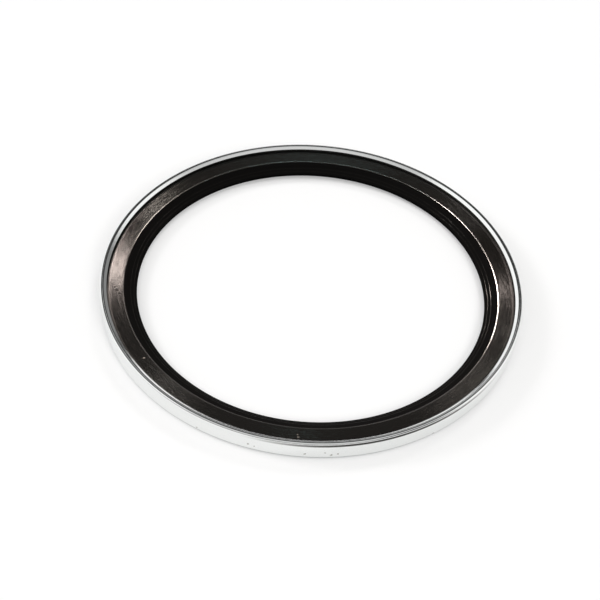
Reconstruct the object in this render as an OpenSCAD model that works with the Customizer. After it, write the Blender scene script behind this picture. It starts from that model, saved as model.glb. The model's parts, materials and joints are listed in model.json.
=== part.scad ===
// Metal-cased rod wiper seal: a drawn steel case with a moulded rubber wiper bonded inside it.
// The ring lies on its flange, with its axis along Z and the seat face at Z = 0. Sizes are in millimetres.

/* [Fit] */
// Diameter of the rod that the lip wipes
rod_d = 100; // [40:1:200]
// Radial width of the groove, from the rod to the wall of the housing
section_w = 10; // [8.5:0.1:16]
// Radial squeeze of the free lip on the rod
lip_squeeze = 0.25; // [0:0.05:0.5]

/* [Steel case] */
// Height of the case, from the seat face to the crest of the rim
case_height = 6; // [5:0.1:12]
// Thickness of the drawn steel sheet
sheet_t = 1.9; // [0.8:0.05:2.2]
// Radial width of the flange, from the wall of the housing to the sheared inner edge
flange_w = 5.8; // [4:0.1:7]
// Outer radius of the bend between the wall and the flange
foot_round = 0.8; // [0.3:0.05:1.2]
// Inner radius of the bend between the wall and the flange
bend_round = 0.3; // [0.1:0.05:0.8]
// Rolled-over radius on the outside of the rim
rim_outer_round = 0.6; // [0.2:0.05:0.9]
// Radial width of the bevel on the inside of the rim
rim_bevel_w = 0.95; // [0.2:0.05:1.2]
// Height of the bevel on the inside of the rim
rim_bevel_h = 0.7; // [0.2:0.05:0.9]
// Radius on the crest, where the bevel begins
crest_round = 0.9; // [0.1:0.05:1.1]
// Broken edge on the lower side of the flange's inner edge
flange_break = 0.15; // [0.05:0.05:0.2]

/* [Rubber wiper] */
// Depth of the rubber below the crest of the rim, where it meets the wall
rim_step = 1.5; // [0.3:0.1:2]
// Fall of the rubber's top band from the wall to the ridge
band_fall = 0.35; // [0:0.05:1]
// Radius on the top band's outer edge, which leaves a groove beside the wall
edge_round = 0.5; // [0.1:0.05:0.8]
// Radial reach of the lip, from the ridge to the wiping edge
lip_reach = 3.65; // [2.5:0.05:5]
// Radius on the ridge between the top band and the lip's funnel
ridge_round = 1; // [0.2:0.05:1.5]
// Height of the wiping land's lower edge above the seat face
lip_height = 1.5; // [0.8:0.1:2.2]
// Height of the wiping land on the rod
lip_land = 0.7; // [0.3:0.05:1]
// Radius on the wiping land's upper edge
lip_round = 0.12; // [0.05:0.01:0.2]
// Radial width of the flat heel beside the flange's inner edge
heel_w = 1.3; // [0.6:0.1:2]
// Rise of the heel above the seat face, which leaves the seat to the steel
heel_rise = 0.2; // [0.2:0.05:0.6]

/* [Hidden] */

turn_facets = 240;
round_facets = 48;
// Share of a corner's radius by which the piece cut off it reaches past the corner
overcut = 0.5;
// Growth of a rounding arc, so that it crosses both of its edges and doesn't only touch them
arc_ease = 1.0002;
// Reach of the cuts that hollow the case and bevel its rim, past the edges that they open
room_spare = 1;
// Least share of the sheet's edge that is left for the rim's outer round
rim_least = 0.4;

// The bevel, the crest and the outer round share the sheet's edge, so a thin sheet limits them
slope_w = min(rim_bevel_w, sheet_t - rim_least);
slope_h = min(rim_bevel_h, rim_step);
slope_half = atan2(slope_h, slope_w) / 2;
crest_run = min(crest_round * tan(slope_half), (sheet_t - slope_w) / 2);
crest = crest_run / tan(slope_half);
rim_roll = min(rim_outer_round, sheet_t - slope_w - crest_run);

case_r = rod_d / 2 + section_w;
wall_r = case_r - sheet_t;
flange_r = case_r - flange_w;
lip_r = rod_d / 2 - lip_squeeze;
ridge_r = lip_r + lip_reach;
heel_r = flange_r - heel_w;

// Points of the section, as radius and height
foot_corner = [case_r, 0];
rim_outer_corner = [case_r, case_height];
rim_inner_corner = [wall_r, case_height];
bevel_upper = [wall_r + slope_w, case_height];
bevel_lower = [wall_r, case_height - slope_h];
bend_corner = [wall_r, sheet_t];
edge_upper = [flange_r, sheet_t];
edge_lower = [flange_r, 0];
room_upper = [wall_r, case_height + room_spare];
room_inner = [flange_r - room_spare, sheet_t];
band_edge = [wall_r, case_height - rim_step];
ridge = [ridge_r, case_height - rim_step - band_fall];
land_upper = [lip_r, lip_height + lip_land];
land_lower = [lip_r, lip_height];
heel_inner = [heel_r, heel_rise];
heel_outer = [flange_r, heel_rise];

function toward(from, to) = (to - from) / norm(to - from);

// The sliver between a corner of the section and the arc that rounds it, reaching a little past the corner
module corner_sliver(corner, before, after, radius) {
    along = toward(corner, before);
    onward = toward(corner, after);
    half_angle = acos(along * onward) / 2;
    run = radius / tan(half_angle);
    centre = corner + toward([0, 0], along + onward) * radius / sin(half_angle);
    kite = [corner + along * run, corner, corner + onward * run];
    difference() {
        polygon([centre, for (point = kite) centre + (point - centre) * (1 + overcut)]);
        translate(centre) circle(r = radius * arc_ease, $fn = round_facets);
    }
}

// The inside of the bend, where the steel stays and the rubber is moulded round it
module bend_fillet() {
    corner_sliver(bend_corner, rim_inner_corner, edge_upper, bend_round);
}

// The room inside the case, above the flange
module case_room() {
    difference() {
        polygon([bend_corner, room_upper, [room_inner[0], room_upper[1]], room_inner]);
        bend_fillet();
    }
}

// What the bevel takes off the inside of the rim
module rim_bevel() {
    along = toward(bevel_lower, bevel_upper) * room_spare;
    polygon([bevel_lower - along, bevel_upper + along, rim_inner_corner + [-room_spare, room_spare]]);
}

module case_section() {
    difference() {
        polygon([foot_corner, rim_outer_corner, [flange_r, case_height], edge_lower]);
        case_room();
        corner_sliver(foot_corner, edge_lower, rim_outer_corner, foot_round);
        corner_sliver(rim_outer_corner, foot_corner, rim_inner_corner, rim_roll);
        rim_bevel();
        corner_sliver(bevel_upper, rim_outer_corner, bevel_lower, crest);
        corner_sliver(edge_lower, edge_upper, foot_corner, flange_break);
    }
}

module wiper_section() {
    difference() {
        polygon([
            band_edge, ridge, land_upper, land_lower, heel_inner, heel_outer, edge_upper, bend_corner
        ]);
        bend_fillet();
        corner_sliver(band_edge, bend_corner, ridge, edge_round);
        corner_sliver(ridge, band_edge, land_upper, ridge_round);
        corner_sliver(land_upper, ridge, land_lower, lip_round);
    }
}

// Drawn steel case: the wall that presses into the housing, and the flange that seats in it
module steel_case() {
    color("#d3d5d2") rotate_extrude($fn = turn_facets) case_section();
}

// Rubber wiper moulded into the case: the top band, the funnel and the lip
module rubber_wiper() {
    color("#232322") rotate_extrude($fn = turn_facets) wiper_section();
}

steel_case();
rubber_wiper();
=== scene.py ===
"""Dress a metal-cased rod wiper seal: a drawn steel case and the rubber wiper that is moulded into it."""

import json
import logging
import math
from dataclasses import dataclass, field
from enum import Enum
from typing import Any

import bmesh
import bpy
from mathutils import Matrix, Vector

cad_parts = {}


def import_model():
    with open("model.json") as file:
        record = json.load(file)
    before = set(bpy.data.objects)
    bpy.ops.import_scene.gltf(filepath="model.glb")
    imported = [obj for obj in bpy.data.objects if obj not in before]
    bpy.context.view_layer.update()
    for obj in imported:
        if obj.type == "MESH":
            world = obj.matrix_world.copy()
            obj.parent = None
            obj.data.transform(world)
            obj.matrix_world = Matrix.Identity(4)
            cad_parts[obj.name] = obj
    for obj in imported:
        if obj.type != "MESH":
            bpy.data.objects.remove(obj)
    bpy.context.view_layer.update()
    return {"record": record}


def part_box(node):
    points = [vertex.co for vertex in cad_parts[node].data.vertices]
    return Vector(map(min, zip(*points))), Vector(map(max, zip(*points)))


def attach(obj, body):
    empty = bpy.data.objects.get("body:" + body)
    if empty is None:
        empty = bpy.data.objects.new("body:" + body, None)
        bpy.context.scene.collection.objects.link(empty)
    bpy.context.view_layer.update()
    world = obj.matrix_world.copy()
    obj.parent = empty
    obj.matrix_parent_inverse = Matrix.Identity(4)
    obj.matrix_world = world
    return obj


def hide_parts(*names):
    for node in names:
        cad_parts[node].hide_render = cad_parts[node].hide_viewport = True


MM = 0.001
LOG = logging.getLogger("wiper_seal")

# Octaves of finer noise in drawn-out and in even patterns, and how strong the finer ones are when drawn out
STREAK_DETAIL = 3.0
GRAIN_DETAIL = 2.0
STREAK_ROUGHNESS = 0.6
# A noise's middle, and the range that holds nearly all of it
NOISE_MIDDLE = (0.5, 0.5, 0.5)
NOISE_LOW = 0.3
NOISE_HIGH = 0.7
# Share of a mark's reach in which it is at its full strength
MARK_CORE = 0.3
# Size and reach of the noise that makes the edges of marks ragged
RAGGED_MM = 0.5
RAGGED_REACH_MM = 0.7
# Turn of the gloss from along the marks to across them, as a share of a full turn
GLOSS_TURN = 0.25


class Slot(Enum):
    """The record's material slots, which are also the names of the solids that the pieces stand for."""

    STEEL = "steel_case"
    RUBBER = "rubber_wiper"


class RubberFinish(Enum):
    """The wiper's finishes, by the place of each in the piece's list of materials."""

    BAND = 0
    RIDGE = 1
    LIP = 2


def linear(hex_colour: str) -> tuple[float, float, float, float]:
    """Turn an sRGB hex colour into linear light.

    Args:
        hex_colour: Six hex digits after a hash.

    Returns:
        Red, green, blue and an alpha of 1.
    """
    channels = [int(hex_colour[k:k + 2], 16) / 255 for k in (1, 3, 5)]
    light = [c / 12.92 if c <= 0.04045 else ((c + 0.055) / 1.055) ** 2.4 for c in channels]
    return light[0], light[1], light[2], 1.0


def direction(azimuth_deg: float, elevation_deg: float) -> Vector:
    """Give the unit vector towards a place in the room.

    Args:
        azimuth_deg: Its direction round the ring, from +X towards +Y.
        elevation_deg: Its height above the table.

    Returns:
        The unit vector.
    """
    turn, rise = math.radians(azimuth_deg), math.radians(elevation_deg)
    return Vector((math.cos(rise) * math.cos(turn), math.cos(rise) * math.sin(turn), math.sin(rise)))


def add_node(tree: bpy.types.NodeTree, kind: str, settings: dict[Any, Any] | None = None,
             links: dict[Any, bpy.types.NodeSocket] | None = None) -> bpy.types.Node:
    """Add a node with its settings and links.

    Args:
        tree: The node tree that gets the node.
        kind: The node's type name.
        settings: Values for its properties, and for its input sockets by name or index.
        links: The output socket that feeds each input, by the input's name or index.

    Returns:
        The new node.
    """
    node = tree.nodes.new(kind)
    for name, value in (settings or {}).items():
        if isinstance(name, int) or name in node.inputs:
            node.inputs[name].default_value = value
        else:
            setattr(node, name, value)
    for name, source in (links or {}).items():
        tree.links.new(source, node.inputs[name])
    return node


def blank_material(name: str) -> bpy.types.Material:
    """Make a material with an empty node tree."""
    material = bpy.data.materials.new(name)
    material.use_nodes = True
    material.node_tree.nodes.clear()
    return material


@dataclass(frozen=True)
class RingCoordinates:
    """Sockets that place a point on a turned ring, in metres, without a seam anywhere round it.

    Attributes:
        point: The point itself, from Object coordinates.
        around: The unit vector from the axis towards the point.
        radius: Distance from the axis.
        height: Height above the seat face.
    """

    point: bpy.types.NodeSocket
    around: bpy.types.NodeSocket
    radius: bpy.types.NodeSocket
    height: bpy.types.NodeSocket

    @classmethod
    def of(cls, tree: bpy.types.NodeTree) -> "RingCoordinates":
        """Add the nodes that work the sockets out.

        Args:
            tree: The material's node tree.

        Returns:
            The sockets.
        """
        point = add_node(tree, "ShaderNodeTexCoord").outputs["Object"]
        flat = add_node(tree, "ShaderNodeVectorMath", {"operation": "MULTIPLY", 1: (1, 1, 0)}, {0: point})
        around = add_node(tree, "ShaderNodeVectorMath", {"operation": "NORMALIZE"}, {0: flat.outputs[0]})
        radius = add_node(tree, "ShaderNodeVectorMath", {"operation": "LENGTH"}, {0: flat.outputs[0]})
        height = add_node(tree, "ShaderNodeSeparateXYZ", links={0: point})
        return cls(point, around.outputs[0], radius.outputs["Value"], height.outputs["Z"])

    def streaks(self, tree: bpy.types.NodeTree, length_mm: float, width_mm: float,
                radius_mm: float) -> bpy.types.NodeSocket:
        """Add a noise that is drawn out round the ring, as a turning tool leaves it.

        Args:
            tree: The material's node tree.
            length_mm: Length of a streak round the ring.
            width_mm: Width of a streak across the section.
            radius_mm: Radius at which the length holds.

        Returns:
            The noise, from 0 to 1.
        """
        stretch = add_node(tree, "ShaderNodeVectorMath", {
            "operation": "SCALE", "Scale": radius_mm / length_mm,
        }, {0: self.around})
        across = add_node(tree, "ShaderNodeMath", {"operation": "SUBTRACT"},
                          {0: self.radius, 1: self.height})
        scaled = add_node(tree, "ShaderNodeMath", {"operation": "DIVIDE", 1: width_mm * MM},
                          {0: across.outputs[0]})
        lift = add_node(tree, "ShaderNodeCombineXYZ", links={"Z": scaled.outputs[0]})
        place = add_node(tree, "ShaderNodeVectorMath", {"operation": "ADD"},
                         {0: stretch.outputs[0], 1: lift.outputs[0]})
        noise = add_node(tree, "ShaderNodeTexNoise", {
            "Scale": 1.0, "Detail": STREAK_DETAIL, "Roughness": STREAK_ROUGHNESS,
        }, {"Vector": place.outputs[0]})
        return noise.outputs[0]

    def grain(self, tree: bpy.types.NodeTree, size_mm: float) -> bpy.types.NodeSocket:
        """Add an even noise.

        Args:
            tree: The material's node tree.
            size_mm: Size of a grain.

        Returns:
            The noise, from 0 to 1.
        """
        noise = add_node(tree, "ShaderNodeTexNoise", {"Scale": 1 / (size_mm * MM), "Detail": GRAIN_DETAIL},
                         {"Vector": self.point})
        return noise.outputs[0]


@dataclass(frozen=True)
class Mark:
    """A small mark on a surface.

    Attributes:
        azimuth_deg: Its direction round the ring, from +X towards +Y.
        radius_mm: Its distance from the axis.
        height_mm: Its height above the seat face.
        reach_mm: How far it reaches from its middle.
    """

    azimuth_deg: float
    radius_mm: float
    height_mm: float
    reach_mm: float

    def mask(self, tree: bpy.types.NodeTree, point: bpy.types.NodeSocket) -> bpy.types.NodeSocket:
        """Add the nodes that find the mark.

        Args:
            tree: The material's node tree.
            point: The point on the surface, with its ragged shift.

        Returns:
            1 inside the mark, fading to 0 outside it.
        """
        outward = direction(self.azimuth_deg, 0.0) * self.radius_mm
        place = (outward + Vector((0.0, 0.0, self.height_mm))) * MM
        gap = add_node(tree, "ShaderNodeVectorMath", {"operation": "DISTANCE", 1: place}, {0: point})
        inside = add_node(tree, "ShaderNodeMapRange", {
            "interpolation_type": "SMOOTHSTEP", "From Min": self.reach_mm * MM,
            "From Max": MARK_CORE * self.reach_mm * MM,
        }, {"Value": gap.outputs["Value"]})
        return inside.outputs[0]


def all_marks(tree: bpy.types.NodeTree, ring: RingCoordinates,
              marks: tuple[Mark, ...]) -> bpy.types.NodeSocket:
    """Join marks into one mask with ragged edges.

    Args:
        tree: The material's node tree.
        ring: The ring's coordinates.
        marks: The marks.

    Returns:
        1 inside a mark and 0 outside all of them.
    """
    noise = add_node(tree, "ShaderNodeTexNoise", {"Scale": 1 / (RAGGED_MM * MM), "Detail": GRAIN_DETAIL},
                     {"Vector": ring.point})
    swing = add_node(tree, "ShaderNodeVectorMath", {"operation": "SUBTRACT", 1: NOISE_MIDDLE},
                     {0: noise.outputs[1]})
    shift = add_node(tree, "ShaderNodeVectorMath", {"operation": "SCALE", "Scale": RAGGED_REACH_MM * MM},
                     {0: swing.outputs[0]})
    ragged = add_node(tree, "ShaderNodeVectorMath", {"operation": "ADD"},
                      {0: ring.point, 1: shift.outputs[0]})
    joined = marks[0].mask(tree, ragged.outputs[0])
    for mark in marks[1:]:
        joined = add_node(tree, "ShaderNodeMath", {"operation": "MAXIMUM"},
                          {0: joined, 1: mark.mask(tree, ragged.outputs[0])}).outputs[0]
    return joined


@dataclass(frozen=True)
class PaintedDarkLine:
    """A thin painted dark line along an edge, on one side of the ring, standing in for shade and dark
    reflections.

    Attributes:
        azimuth_deg: The middle of the line, from +X towards +Y.
        spread_deg: How far it runs to each side before it has faded.
        height_mm: Its height above the seat face.
        width_mm: Its whole width.
        strength: How much of the steel's colour it hides in its middle.
        colour: Colour of the painted dark line.
    """

    azimuth_deg: float
    spread_deg: float
    height_mm: float
    width_mm: float
    strength: float
    colour: str

    def paint(self, tree: bpy.types.NodeTree, ring: RingCoordinates,
              plate: bpy.types.NodeSocket) -> bpy.types.NodeSocket:
        """Paint the line over the plate.

        Args:
            tree: The material's node tree.
            ring: The ring's coordinates.
            plate: The plate's colour so far.

        Returns:
            The colour with the line.
        """
        facing = add_node(tree, "ShaderNodeVectorMath", {
            "operation": "DOT_PRODUCT", 1: direction(self.azimuth_deg, 0.0),
        }, {0: ring.around})
        side = add_node(tree, "ShaderNodeMapRange", {
            "interpolation_type": "SMOOTHSTEP", "From Min": math.cos(math.radians(self.spread_deg)),
            "From Max": 1.0, "To Max": self.strength,
        }, {"Value": facing.outputs["Value"]})
        inside = add_node(tree, "ShaderNodeMath", {
            "operation": "COMPARE", 1: self.height_mm * MM, 2: self.width_mm / 2 * MM,
        }, {0: ring.height})
        share = add_node(tree, "ShaderNodeMath", {"operation": "MULTIPLY"},
                         {0: side.outputs[0], 1: inside.outputs[0]})
        painted = add_node(tree, "ShaderNodeMix", {"data_type": "RGBA", 7: linear(self.colour)},
                           {0: share.outputs[0], 6: plate})
        return painted.outputs[2]


@dataclass(frozen=True)
class BrightDrawnSteel:
    """Mild steel sheet, drawn to a cup, bright plated and bevelled at the rim.

    The eye gets a pale, neutral metal that mirrors the table softly. Drawing leaves fine lines round the
    wall, and handling leaves shallow dents and grey specks. The thin dark lines below the rim and at the
    foot
    are painted: a painted dark reflection under the rim, and painted contact shade at the foot.

    Attributes:
        colour: The plate's own colour.
        dull_colour: The plate where it has tarnished a little.
        speck_colour: Colour of the specks.
        roughness: Middle roughness.
        line_polish: How much smoother the steel is between two drawing lines.
        line_dulling: How much rougher it is in a line.
        line_length_mm: Length of a drawing line.
        line_width_mm: Width of a line. Real ones are finer, and these are as coarse as they need to show.
        line_depth_mm: Depth of a line.
        grain_mm: Size of the plate's grain, which is also drawn coarser than it is, to show.
        grain_depth_mm: Depth of the grain.
        dent_mm: Size of a dent.
        dent_depth_mm: Depth of a dent.
        specks: The specks.
        painted_dark_lines: The painted dark lines: a dark reflection under the rim and contact shade at the
            foot.
    """

    colour: str = "#F4F5F4"
    dull_colour: str = "#E8EAE9"
    speck_colour: str = "#A19F98"
    roughness: float = 0.12
    line_polish: float = 0.06
    line_dulling: float = 0.08
    line_length_mm: float = 9.0
    line_width_mm: float = 0.16
    line_depth_mm: float = 0.002
    grain_mm: float = 0.28
    grain_depth_mm: float = 0.002
    dent_mm: float = 0.9
    dent_depth_mm: float = 0.012
    specks: tuple[Mark, ...] = (
        Mark(257.0, 60.0, 2.3, 0.45), Mark(258.6, 60.0, 2.0, 0.3), Mark(271.1, 60.0, 1.9, 0.4),
        Mark(276.0, 60.0, 2.5, 0.3), Mark(277.5, 60.0, 1.6, 0.5), Mark(279.2, 60.0, 1.9, 0.35),
        Mark(304.8, 60.0, 0.6, 0.6), Mark(243.0, 60.0, 1.2, 0.35),
    )
    painted_dark_lines: tuple[PaintedDarkLine, ...] = (
        # Painted dark reflection: a line under the rim on the near side, where the rounded rim mirrors the
        # dark room low down
        PaintedDarkLine(293.0, 40.0, 5.13, 0.8, 0.95, "#211E1A"),
        # Painted contact shade: a line at the foot, darkest at the front, where the foot's bend mirrors the
        # shadow beneath it
        PaintedDarkLine(270.0, 180.0, 0.4, 0.6, 0.75, "#66716F"),
    )

    def build(self, radius_mm: float) -> bpy.types.Material:
        """Build the material.

        Args:
            radius_mm: Radius of the case, for the length of the lines round it.

        Returns:
            The material.
        """
        material = blank_material("bright_drawn_steel")
        tree = material.node_tree
        ring = RingCoordinates.of(tree)
        lines = ring.streaks(tree, self.line_length_mm, self.line_width_mm, radius_mm)
        grain = ring.grain(tree, self.grain_mm)
        dents = ring.grain(tree, self.dent_mm)
        plate = add_node(tree, "ShaderNodeMix", {
            "data_type": "RGBA", 6: linear(self.dull_colour), 7: linear(self.colour),
        }, {0: grain})
        colour = add_node(tree, "ShaderNodeMix", {"data_type": "RGBA", 7: linear(self.speck_colour)},
                          {0: all_marks(tree, ring, self.specks), 6: plate.outputs[2]}).outputs[2]
        # Painted shade and painted dark reflection: dark lines laid over the plate's colour
        for dark_line in self.painted_dark_lines:
            colour = dark_line.paint(tree, ring, colour)
        rough = add_node(tree, "ShaderNodeMapRange", {
            "To Min": self.roughness - self.line_polish, "To Max": self.roughness + self.line_dulling,
        }, {"Value": lines})
        dented = add_node(tree, "ShaderNodeBump", {"Distance": self.dent_depth_mm * MM}, {"Height": dents})
        lined = add_node(tree, "ShaderNodeBump", {"Distance": self.line_depth_mm * MM},
                         {"Height": lines, "Normal": dented.outputs[0]})
        grained = add_node(tree, "ShaderNodeBump", {"Distance": self.grain_depth_mm * MM},
                           {"Height": grain, "Normal": lined.outputs[0]})
        shader = add_node(tree, "ShaderNodeBsdfPrincipled", {"Metallic": 1.0}, {
            "Base Color": colour, "Roughness": rough.outputs[0], "Normal": grained.outputs[0],
        })
        add_node(tree, "ShaderNodeOutputMaterial", links={"Surface": shader.outputs[0]})
        return material


@dataclass(frozen=True)
class MouldedNitrile:
    """Black nitrile rubber, press moulded in a turned tool.

    The eye gets a deep black with a low sheen. The tool's turning marks run round the ring, so a lamp smears
    across them in two soft fans.

    Attributes:
        name: The material's name.
        colour: The rubber's own black.
        bloom_colour: The slightly paler black where wax has bloomed to the surface.
        roughness: Middle roughness.
        specular: How strongly the skin mirrors, where 0.5 is the full gloss of its IOR.
        mark_depth_mm: Depth of a turning mark.
        mark_length_mm: Length of a turning mark.
        mark_width_mm: Width of a mark. Real ones are finer, and these are as coarse as they need to show.
        mark_dulling: How much rougher the skin is in a turning mark than between two.
        grain_mm: Size of the skin's grain, which is also drawn coarser than it is, to show.
        grain_depth_mm: Depth of the grain.
        mottle: How much rougher the skin is on the grain's hills than in its hollows.
        ior: Refractive index.
        anisotropy: How much further gloss spreads across the marks than along them.
        edge_w_mm: Width of the strip beside the wall where the mould's parting edge leaves the skin dull.
        edge_dulling: How much rougher the skin is at the wall.
        scuff_dulling: How much rougher the skin is in a scuff.
        scuffs: Places where the skin is rubbed dull.
        lint: Pale specks that stick to the skin.
        lint_colour: Colour of the specks.
    """

    name: str
    colour: str
    bloom_colour: str
    roughness: float
    specular: float
    mark_depth_mm: float
    mark_length_mm: float = 16.0
    mark_width_mm: float = 0.3
    mark_dulling: float = 0.12
    grain_mm: float = 0.35
    grain_depth_mm: float = 0.006
    mottle: float = 0.0
    ior: float = 1.5
    anisotropy: float = 0.0
    edge_w_mm: float = 1.0
    edge_dulling: float = 0.5
    scuff_dulling: float = 0.5
    scuffs: tuple[Mark, ...] = (
        Mark(189.6, 55.2, 4.3, 0.8), Mark(190.9, 54.6, 4.25, 0.7), Mark(188.4, 55.9, 4.35, 0.5),
    )
    lint: tuple[Mark, ...] = (
        Mark(217.8, 55.0, 4.27, 0.4), Mark(268.9, 55.9, 4.34, 0.3), Mark(269.2, 56.7, 4.4, 0.3),
    )
    lint_colour: str = "#5E5A56"

    def build(self, radius_mm: float) -> bpy.types.Material:
        """Build the material.

        Args:
            radius_mm: Radius of the wall, for the length of the marks and the dull strip beside it.

        Returns:
            The material.
        """
        material = blank_material(self.name)
        tree = material.node_tree
        ring = RingCoordinates.of(tree)
        marks = ring.streaks(tree, self.mark_length_mm, self.mark_width_mm, radius_mm)
        grain = ring.grain(tree, self.grain_mm)
        skin_colour = add_node(tree, "ShaderNodeMix", {
            "data_type": "RGBA", 6: linear(self.colour), 7: linear(self.bloom_colour),
        }, {0: marks})
        colour = add_node(tree, "ShaderNodeMix", {"data_type": "RGBA", 7: linear(self.lint_colour)},
                          {0: all_marks(tree, ring, self.lint), 6: skin_colour.outputs[2]})
        skin = add_node(tree, "ShaderNodeMapRange", {
            "From Min": NOISE_LOW, "From Max": NOISE_HIGH,
            "To Min": self.roughness - self.mark_dulling / 2,
            "To Max": self.roughness + self.mark_dulling / 2,
        }, {"Value": marks})
        rubbed = add_node(tree, "ShaderNodeMath", {"operation": "MULTIPLY_ADD", 1: self.scuff_dulling},
                          {0: all_marks(tree, ring, self.scuffs), 2: skin.outputs[0]})
        edge = add_node(tree, "ShaderNodeMapRange", {
            "From Min": (radius_mm - self.edge_w_mm) * MM, "From Max": radius_mm * MM,
            "To Max": self.edge_dulling,
        }, {"Value": ring.radius})
        mottled = add_node(tree, "ShaderNodeMath", {"operation": "MULTIPLY_ADD", 1: self.mottle},
                           {0: grain, 2: rubbed.outputs[0]})
        dulled = add_node(tree, "ShaderNodeMath", {"operation": "ADD"},
                          {0: mottled.outputs[0], 1: edge.outputs[0]})
        marked = add_node(tree, "ShaderNodeBump", {"Distance": self.mark_depth_mm * MM}, {"Height": marks})
        grained = add_node(tree, "ShaderNodeBump", {"Distance": self.grain_depth_mm * MM},
                           {"Height": grain, "Normal": marked.outputs[0]})
        along = add_node(tree, "ShaderNodeTangent", {"direction_type": "RADIAL", "axis": "Z"})
        shader = add_node(tree, "ShaderNodeBsdfPrincipled", {
            "IOR": self.ior, "Specular IOR Level": self.specular,
            "Anisotropic": self.anisotropy, "Anisotropic Rotation": GLOSS_TURN,
        }, {
            "Base Color": colour.outputs[2], "Roughness": dulled.outputs[0], "Normal": grained.outputs[0],
            "Tangent": along.outputs[0],
        })
        add_node(tree, "ShaderNodeOutputMaterial", links={"Surface": shader.outputs[0]})
        return material


@dataclass(frozen=True)
class Corner:
    """A corner of a turned section, in millimetres.

    Attributes:
        radius: Distance from the ring's axis.
        height: Height above the seat face.
        rounding: Radius of the arc that rounds the corner, or 0 for a sharp one.
    """

    radius: float
    height: float
    rounding: float = 0.0

    def place(self) -> Vector:
        """Give the corner as a point of the section."""
        return Vector((self.radius, self.height))


@dataclass(frozen=True)
class Turning:
    """How finely a section is turned into a ring.

    Attributes:
        steps: Facets in a full turn.
        arc_segments: Segments of each rounded corner.
        stride_mm: Longest stretch of the section between two loops.
        sharp_deg: Angle between faces above which an edge stays sharp.
        merge_mm: Distance within which the first and the last loop of a full turn are joined.
    """

    steps: int = 400
    arc_segments: int = 8
    stride_mm: float = 0.4
    sharp_deg: float = 24.0
    merge_mm: float = 0.0001

    def section(self, corners: list[Corner]) -> bmesh.types.BMesh:
        """Draw a section, round its corners and divide its long sides.

        Args:
            corners: The section's corners in order.

        Returns:
            A mesh of the section's outline alone.
        """
        shape = bmesh.new()
        points = [shape.verts.new((c.radius * MM, 0.0, c.height * MM)) for c in corners]
        shape.faces.new(points)
        for index, corner in enumerate(corners):
            if not corner.rounding:
                continue
            along = corners[index - 1].place() - corner.place()
            onward = corners[(index + 1) % len(corners)].place() - corner.place()
            run = corner.rounding / math.tan(along.angle(onward) / 2)
            bmesh.ops.bevel(shape, geom=[points[index]], offset=run * MM, offset_type="OFFSET",
                            affect="VERTICES", segments=self.arc_segments, profile=0.5, material=-1,
                            clamp_overlap=False)
        for edge in list(shape.edges):
            cuts = math.ceil(edge.calc_length() / (self.stride_mm * MM)) - 1
            if cuts > 0:
                bmesh.ops.subdivide_edges(shape, edges=[edge], cuts=cuts)
        bmesh.ops.delete(shape, geom=list(shape.faces), context="FACES_ONLY")
        return shape

    def ring(self, name: str, corners: list[Corner]) -> bpy.types.Object:
        """Spin a section about the ring's axis.

        Args:
            name: The new object's name.
            corners: The section's corners in order.

        Returns:
            The closed ring, at its place in the frame.
        """
        shape = self.section(corners)
        bmesh.ops.spin(shape, geom=[*shape.verts, *shape.edges], cent=(0, 0, 0), axis=(0, 0, 1),
                       dvec=(0, 0, 0), angle=math.tau, steps=self.steps, use_merge=True, use_duplicate=False)
        bmesh.ops.remove_doubles(shape, verts=list(shape.verts), dist=self.merge_mm * MM)
        bmesh.ops.recalc_face_normals(shape, faces=list(shape.faces))
        for face in shape.faces:
            face.smooth = True
        for edge in shape.edges:
            edge.smooth = edge.calc_face_angle(0.0) < math.radians(self.sharp_deg)
        mesh = bpy.data.meshes.new(name)
        shape.to_mesh(mesh)
        shape.free()
        ring = bpy.data.objects.new(name, mesh)
        bpy.context.scene.collection.objects.link(ring)
        return ring


@dataclass
class SteelCase:
    """The drawn case: a wall that presses into the housing and a flange that seats in it.

    Attributes:
        case_r: Radius of the wall's outside, in millimetres as all the sizes are.
        wall_r: Radius of the wall's inside.
        height: Height from the seat face to the crest of the rim.
        flange_w: Radial width of the flange.
        foot_round: Outer radius of the bend between the wall and the flange.
        bend_round: Inner radius of that bend.
        rim_round: Rolled-over radius on the outside of the rim.
        crest_round: Radius on the crest, where the bevel begins.
        bevel_w: Radial width of the bevel on the inside of the rim.
        bevel_h: Height of the bevel.
        flange_break: Broken edge on the lower side of the flange's inner edge.
        finish: What the case is made of.
    """

    case_r: float
    wall_r: float
    height: float
    flange_w: float = 5.8
    foot_round: float = 0.8
    bend_round: float = 0.3
    rim_round: float = 0.6
    crest_round: float = 0.9
    bevel_w: float = 0.95
    bevel_h: float = 0.7
    flange_break: float = 0.15
    finish: BrightDrawnSteel = field(default_factory=BrightDrawnSteel)

    def sheet_t(self) -> float:
        """Give the thickness of the sheet."""
        return self.case_r - self.wall_r

    def flange_r(self) -> float:
        """Give the radius of the flange's inner edge."""
        return self.case_r - self.flange_w

    def corners(self) -> list[Corner]:
        """List the section's corners, from the foot up and round."""
        return [
            Corner(self.case_r, 0.0, self.foot_round),
            Corner(self.case_r, self.height, self.rim_round),
            Corner(self.wall_r + self.bevel_w, self.height, self.crest_round),
            Corner(self.wall_r, self.height - self.bevel_h),
            Corner(self.wall_r, self.sheet_t(), self.bend_round),
            Corner(self.flange_r(), self.sheet_t()),
            Corner(self.flange_r(), 0.0, self.flange_break),
        ]

    def build(self) -> bpy.types.Object:
        """Turn the case, dress it and put it in the frame.

        Returns:
            The finished piece.
        """
        piece = Turning().ring("drawn_case", self.corners())
        piece.data.materials.append(self.finish.build(self.case_r))
        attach(piece, "root")
        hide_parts(Slot.STEEL.value)
        return piece


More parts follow.
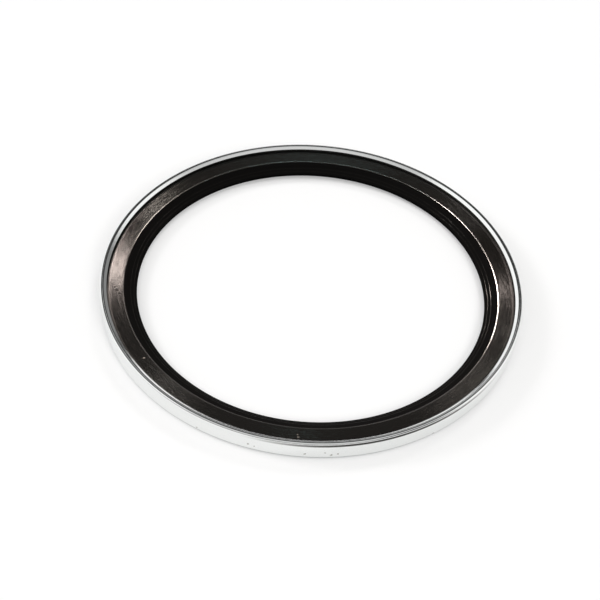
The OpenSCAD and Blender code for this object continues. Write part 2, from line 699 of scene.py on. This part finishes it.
@dataclass
class RubberWiper:
    """The wiper: a top band, a ridge, a funnel and the lip on the rod.

    Attributes:
        case: The case that the wiper is moulded into.
        lip_r: Radius of the wiping land, in millimetres as all the sizes are.
        heel_rise: Rise of the heel above the seat face.
        rim_step: Depth of the band below the crest of the rim, at the wall.
        band_fall: Fall of the band from the wall to the ridge.
        edge_round: Radius on the band's outer edge.
        lip_reach: Radial reach of the lip, from the ridge to the land.
        ridge_round: Radius on the ridge.
        lip_height: Height of the land's lower edge.
        lip_land: Height of the land.
        lip_round: Radius on the land's upper edge.
        heel_w: Radial width of the heel.
        tool_rings: How far up the funnel from the land each tool ring lies.
        tool_ring_w: Width of a tool ring.
        tool_ring_h: Height of a tool ring.
        ridge_outer: How far the ridge's polish reaches out onto the band.
        ridge_steepest: Slope in degrees at which the ridge's polish ends.
        least_upward: Upward part of a face's normal below which it belongs to the lip or the underside.
        band_finish: Skin off a turned mould: a low sheen in soft fans, mottled by the tool's marks.
        ridge_finish: Skin off a polished edge of the mould: a thin bright line.
        lip_finish: Skin off a matt mould: black, with hardly any sheen.
    """

    case: SteelCase
    lip_r: float
    heel_rise: float
    rim_step: float = 1.5
    band_fall: float = 0.35
    edge_round: float = 0.5
    lip_reach: float = 3.65
    ridge_round: float = 1.0
    lip_height: float = 1.5
    lip_land: float = 0.7
    lip_round: float = 0.12
    heel_w: float = 1.3
    tool_rings: tuple[float, ...] = (0.9, 1.9)
    tool_ring_w: float = 0.12
    tool_ring_h: float = 0.006
    ridge_outer: float = 0.25
    ridge_steepest: float = 24.0
    least_upward: float = 0.3
    band_finish: MouldedNitrile = MouldedNitrile(
        "turned_mould_black_nitrile", colour="#080807", bloom_colour="#11100F", roughness=0.15, specular=0.1,
        anisotropy=1.0, mark_dulling=0.14, mark_length_mm=3.0, mark_depth_mm=0.008, grain_depth_mm=0.0004,
        mottle=0.06)
    ridge_finish: MouldedNitrile = MouldedNitrile(
        "polished_mould_black_nitrile", colour="#080807", bloom_colour="#11100F", roughness=0.19,
        specular=1.0, anisotropy=0.6, mark_dulling=0.06, mark_depth_mm=0.004, grain_depth_mm=0.001)
    lip_finish: MouldedNitrile = MouldedNitrile(
        "matt_mould_black_nitrile", colour="#050505", bloom_colour="#080808", roughness=0.8, specular=0.01,
        mark_depth_mm=0.01)

    def ridge_r(self) -> float:
        """Give the radius of the ridge."""
        return self.lip_r + self.lip_reach

    def band_height(self) -> float:
        """Give the height of the band at the wall."""
        return self.case.height - self.rim_step

    def funnel_rings(self, lip: Vector, ridge: Vector) -> list[Corner]:
        """List the corners of the fine rings that the tool left in the funnel, from the ridge to the lip.

        Args:
            lip: The upper edge of the wiping land.
            ridge: The ridge.

        Returns:
            Three corners a ring.
        """
        along = (ridge - lip).normalized()
        proud = Vector((-along.y, along.x)) * self.tool_ring_h
        corners = []
        for reach in sorted(self.tool_rings, reverse=True):
            for step, lift, rounding in ((0.5, 0.0, 0.0), (0.0, 1.0, self.tool_ring_h), (-0.5, 0.0, 0.0)):
                place = lip + along * (reach + step * self.tool_ring_w) + proud * lift
                corners.append(Corner(place.x, place.y, rounding))
        return corners

    def corners(self) -> list[Corner]:
        """List the section's corners, from the wall inwards over the top and back under the lip."""
        wall_r, flange_r, sheet_t = self.case.wall_r, self.case.flange_r(), self.case.sheet_t()
        ridge = Corner(self.ridge_r(), self.band_height() - self.band_fall, self.ridge_round)
        lip = Corner(self.lip_r, self.lip_height + self.lip_land, self.lip_round)
        return [
            Corner(wall_r, self.band_height(), self.edge_round),
            ridge,
            *self.funnel_rings(lip.place(), ridge.place()),
            lip,
            Corner(self.lip_r, self.lip_height),
            Corner(flange_r - self.heel_w, self.heel_rise),
            Corner(flange_r, self.heel_rise),
            Corner(flange_r, sheet_t),
            Corner(wall_r, sheet_t, self.case.bend_round),
        ]

    def finish_of(self, face: bpy.types.MeshPolygon) -> RubberFinish:
        """Tell which of the three finishes a face has.

        Args:
            face: A face of the turned ring.

        Returns:
            The band's finish, also for the tool rings, the ridge's, or the lip's for the rest.
        """
        radius = math.hypot(face.center.x, face.center.y) / MM
        if face.normal.z < self.least_upward:
            return RubberFinish.LIP
        steep = math.degrees(math.acos(min(1.0, face.normal.z)))
        if abs(radius - self.ridge_r()) < self.ridge_round and radius < self.ridge_r() + self.ridge_outer:
            return RubberFinish.RIDGE if steep < self.ridge_steepest else RubberFinish.LIP
        slope = (self.band_height() - self.band_fall - self.lip_height - self.lip_land) / self.lip_reach
        near_ring = any(abs((radius - self.lip_r) * math.hypot(1.0, slope) - reach) < self.tool_ring_w / 2
                        for reach in self.tool_rings)
        return RubberFinish.BAND if near_ring or radius > self.ridge_r() else RubberFinish.LIP

    def build(self) -> bpy.types.Object:
        """Turn the wiper, dress it and put it in the frame.

        Returns:
            The finished piece.
        """
        piece = Turning().ring("moulded_wiper", self.corners())
        for finish in (self.band_finish, self.ridge_finish, self.lip_finish):
            piece.data.materials.append(finish.build(self.case.wall_r))
        for face in piece.data.polygons:
            face.material_index = self.finish_of(face).value
        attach(piece, "root")
        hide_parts(Slot.RUBBER.value)
        return piece


@dataclass(frozen=True)
class PhotoCamera:
    """The camera at the photograph's place: a long lens that looks down at the ring from in front.

    Attributes:
        aim_mm: Where it looks.
        distance_mm: How far from there it stands.
        elevation_deg: How steeply it looks down.
        roll_deg: How far it is turned about its line of sight.
        lens_mm: Focal length.
        sensor_mm: Width of the sensor.
        clip_m: The nearest and the farthest distance that it sees.
    """

    aim_mm: tuple[float, float, float] = (-2.99, -9.48, 6.0)
    distance_mm: float = 360.0
    elevation_deg: float = 45.651
    roll_deg: float = 4.262
    lens_mm: float = 77.22
    sensor_mm: float = 36.0
    clip_m: tuple[float, float] = (0.01, 20.0)

    def build(self) -> bpy.types.Object:
        """Make the camera the scene's own.

        Returns:
            The camera.
        """
        tilt, roll = math.radians(self.elevation_deg), math.radians(self.roll_deg)
        back = Vector((0.0, -math.cos(tilt), math.sin(tilt)))
        level, rise = Vector((1.0, 0.0, 0.0)), Vector((0.0, math.sin(tilt), math.cos(tilt)))
        right = level * math.cos(roll) + rise * math.sin(roll)
        up = rise * math.cos(roll) - level * math.sin(roll)
        data = bpy.data.cameras.new("photo_camera")
        data.lens, data.sensor_width = self.lens_mm, self.sensor_mm
        data.clip_start, data.clip_end = self.clip_m
        camera = bpy.data.objects.new("photo_camera", data)
        place = (Vector(self.aim_mm) + back * self.distance_mm) * MM
        camera.matrix_world = Matrix.Translation(place) @ Matrix((right, up, back)).transposed().to_4x4()
        bpy.context.scene.collection.objects.link(camera)
        bpy.context.scene.camera = camera
        return camera


@dataclass(frozen=True)
class Softbox:
    """A lamp with a flat face that points at the ring.

    Attributes:
        name: The lamp's name.
        azimuth_deg: Its direction round the ring, from +X towards +Y.
        elevation_deg: Its height above the table.
        distance_m: How far away it stands.
        face_m: Width and height of its face.
        radiance: How bright its face is, where 1 is the white floor.
        colour: Colour of its light.
        mirrored: Whether shiny surfaces show it.
        flagged: Whether flags keep its light off everything but the rubber.
    """

    name: str
    azimuth_deg: float
    elevation_deg: float
    distance_m: float
    face_m: tuple[float, float]
    radiance: float
    colour: str
    mirrored: bool = True
    flagged: bool = False

    def build(self, flagged_pieces: bpy.types.Collection) -> bpy.types.Object:
        """Hang the lamp.

        Args:
            flagged_pieces: What a flagged lamp lights.

        Returns:
            The lamp.
        """
        data = bpy.data.lights.new(self.name, "AREA")
        data.shape = "RECTANGLE"
        data.size, data.size_y = self.face_m
        data.energy = self.radiance * math.pi * self.face_m[0] * self.face_m[1]
        data.color = linear(self.colour)[:3]
        lamp = bpy.data.objects.new(self.name, data)
        place = direction(self.azimuth_deg, self.elevation_deg) * self.distance_m
        lamp.matrix_world = Matrix.Translation(place) @ place.to_track_quat("Z", "Y").to_matrix().to_4x4()
        lamp.visible_glossy = self.mirrored
        if self.flagged:
            lamp.light_linking.receiver_collection = flagged_pieces
        bpy.context.scene.collection.objects.link(lamp)
        return lamp


@dataclass(frozen=True)
class RoomPatch:
    """A soft patch of the room, far away and lighter or darker than the rest, that shiny surfaces mirror.

    Attributes:
        azimuth_deg: Its direction round the ring, from +X towards +Y.
        elevation_deg: Its height above the table.
        half_deg: Half its width.
        soft_deg: Width of its faded edge.
        level: How bright it is, where 1 is the white floor.
    """

    azimuth_deg: float
    elevation_deg: float
    half_deg: float
    soft_deg: float
    level: float

    def paint(self, tree: bpy.types.NodeTree, look: bpy.types.NodeSocket,
              room: bpy.types.NodeSocket) -> bpy.types.NodeSocket:
        """Paint the patch over the room.

        Args:
            tree: The world's node tree.
            look: The direction that is looked in.
            room: The room's light so far.

        Returns:
            The room's light with the patch.
        """
        axis = direction(self.azimuth_deg, self.elevation_deg)
        near = add_node(tree, "ShaderNodeVectorMath", {"operation": "DOT_PRODUCT", 1: axis}, {0: look})
        inside = add_node(tree, "ShaderNodeMapRange", {
            "interpolation_type": "SMOOTHSTEP",
            "From Min": math.cos(math.radians(self.half_deg + self.soft_deg)),
            "From Max": math.cos(math.radians(self.half_deg)),
        }, {"Value": near.outputs["Value"]})
        light = (self.level, self.level, self.level)
        painted = add_node(tree, "ShaderNodeMix", {"data_type": "VECTOR", 5: light},
                           {0: inside.outputs[0], 4: room})
        return painted.outputs[1]


@dataclass
class Studio:
    """The white table, the lamps and the room round them.

    Attributes:
        table_m: Length of the table's sides.
        table_drop_mm: Gap between the table and the seat face, which keeps their faces apart.
        table_colour: The paper's own colour.
        table_glow: Share of plain white in what the camera and shiny surfaces see of the table.
        lamps: The lamps.
        room_levels: Heights in the room, from 0 at the horizon to 1 overhead, and how bright it is there.
        patches: The lighter and darker patches, painted in order.
    """

    table_m: float = 2.4
    table_drop_mm: float = 0.02
    table_colour: str = "#FDFDFD"
    table_glow: float = 0.3
    lamps: tuple[Softbox, ...] = (
        Softbox("key_lamp", 110.75, 42.1, 1.6, (0.13, 0.085), 1040.0, "#FFEDE3", flagged=True),
        Softbox("low_back_lamp", 106.0, 35.2, 1.6, (0.08, 0.13), 230.0, "#FFF3E6", flagged=True),
        Softbox("back_left_kicker", 117.0, 58.2, 1.6, (0.16, 0.16), 105.0, "#FFF6EC", flagged=True),
        Softbox("back_right_kicker", 69.0, 51.2, 1.6, (0.18, 0.18), 34.0, "#FFF3E6", flagged=True),
        Softbox("cool_back_lamp", 89.5, 55.0, 1.6, (0.04, 0.1), 22.0, "#CFF3F0", flagged=True),
        Softbox("left_fill", 165.0, 31.0, 2.5, (0.5, 0.5), 15.0, "#FFFDFF", mirrored=False),
        Softbox("right_fill", 65.0, 45.0, 2.5, (0.5, 0.5), 9.0, "#FFFEFC", mirrored=False),
        Softbox("front_fill", 300.0, 35.0, 2.5, (0.8, 0.8), 8.0, "#FFFEFC", mirrored=False),
        Softbox("ceiling_fill", 250.0, 80.0, 2.0, (2.0, 2.0), 0.862, "#FFFEFC", mirrored=False),
    )
    room_levels: tuple[tuple[float, float], ...] = ((0.0, 0.03), (0.25, 0.04), (0.45, 0.72), (1.0, 0.72))
    patches: tuple[RoomPatch, ...] = (
        RoomPatch(95.0, 44.0, 24.0, 45.0, 0.03),
        RoomPatch(90.0, 37.0, 4.5, 5.0, 0.75),
        RoomPatch(50.0, 5.0, 15.0, 10.0, 0.25),
        RoomPatch(325.0, 20.0, 14.0, 10.0, 0.03),
        RoomPatch(10.0, 22.0, 20.0, 12.0, 1.1),
        RoomPatch(108.0, 3.0, 10.0, 6.0, 1.0),
        RoomPatch(126.0, 6.0, 12.0, 6.0, 1.0),
        RoomPatch(142.0, 18.0, 14.0, 8.0, 1.1),
        RoomPatch(178.0, 30.0, 22.0, 12.0, 1.1),
    )

    def build_table(self) -> bpy.types.Object:
        """Lay the table that the ring lies on.

        Returns:
            The table top.
        """
        shape = bmesh.new()
        bmesh.ops.create_grid(shape, x_segments=1, y_segments=1, size=self.table_m / 2,
                              matrix=Matrix.Translation((0, 0, -self.table_drop_mm * MM)))
        mesh = bpy.data.meshes.new("white_table")
        shape.to_mesh(mesh)
        shape.free()
        table = bpy.data.objects.new("white_table", mesh)
        bpy.context.scene.collection.objects.link(table)
        # Coated white paper: matt, and almost plain white to the camera, with the ring's shadow left on it
        material = blank_material("white_paper_table")
        tree = material.node_tree
        paper = add_node(tree, "ShaderNodeBsdfDiffuse", {"Color": linear(self.table_colour)})
        white = add_node(tree, "ShaderNodeEmission", {"Strength": 1.0})
        ray = add_node(tree, "ShaderNodeLightPath")
        seen = add_node(tree, "ShaderNodeMath", {"operation": "MAXIMUM"},
                        {0: ray.outputs["Is Camera Ray"], 1: ray.outputs["Is Glossy Ray"]})
        share = add_node(tree, "ShaderNodeMath", {"operation": "MULTIPLY", 1: self.table_glow},
                         {0: seen.outputs[0]})
        mixed = add_node(tree, "ShaderNodeMixShader",
                         links={0: share.outputs[0], 1: paper.outputs[0], 2: white.outputs[0]})
        add_node(tree, "ShaderNodeOutputMaterial", links={"Surface": mixed.outputs[0]})
        mesh.materials.append(material)
        return table

    def build_room(self) -> None:
        """Set up the room: dark low down and behind the ring, bright overhead, and white to the camera."""
        world = bpy.data.worlds.new("studio_room")
        world.use_nodes = True
        bpy.context.scene.world = world
        tree = world.node_tree
        tree.nodes.clear()
        look = add_node(tree, "ShaderNodeTexCoord").outputs["Generated"]
        axes = add_node(tree, "ShaderNodeSeparateXYZ", links={0: look})
        ramp = add_node(tree, "ShaderNodeValToRGB", links={0: axes.outputs["Z"]})
        stops = ramp.color_ramp.elements
        while len(stops) < len(self.room_levels):
            stops.new(1.0)
        for stop, (height, level) in zip(stops, self.room_levels):
            stop.position = height
            stop.color = (level, level, level, 1.0)
        room = ramp.outputs[0]
        for patch in self.patches:
            room = patch.paint(tree, look, room)
        ray = add_node(tree, "ShaderNodeLightPath")
        shown = add_node(tree, "ShaderNodeMix", {"data_type": "VECTOR", 5: (1.0, 1.0, 1.0)},
                         {0: ray.outputs["Is Camera Ray"], 4: room})
        light = add_node(tree, "ShaderNodeBackground", links={"Color": shown.outputs[1]})
        add_node(tree, "ShaderNodeOutputWorld", links={"Surface": light.outputs[0]})

    def build(self, flagged_pieces: list[bpy.types.Object]) -> None:
        """Set up the table, the lamps and the room.

        Args:
            flagged_pieces: What the flagged lamps light.
        """
        self.build_table()
        lit = bpy.data.collections.new("lit_by_flagged_lamps")
        for piece in flagged_pieces:
            lit.objects.link(piece)
        for lamp in self.lamps:
            lamp.build(lit)
        self.build_room()


def main() -> None:
    """Load the frame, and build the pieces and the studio."""
    logging.basicConfig(level=logging.INFO, format="%(name)s: %(message)s")
    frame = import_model()
    bpy.context.scene.view_settings.view_transform = "Standard"
    mounts = {mount["name"]: mount for mount in frame["record"]["mounts"]}
    case_box, wiper_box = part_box(Slot.STEEL.value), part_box(Slot.RUBBER.value)
    PhotoCamera().build()
    case = SteelCase(case_r=case_box[1][0] / MM, wall_r=wiper_box[1][0] / MM, height=case_box[1][2] / MM)
    wiper = RubberWiper(case=case, lip_r=mounts["rod_bore"]["dims"]["r_mm"], heel_rise=wiper_box[0][2] / MM)
    case_piece, wiper_piece = case.build(), wiper.build()
    for piece in (case_piece, wiper_piece):
        LOG.info("%s: %d faces", piece.name, len(piece.data.polygons))
    Studio().build([wiper_piece])


if __name__ == "__main__":
    main()
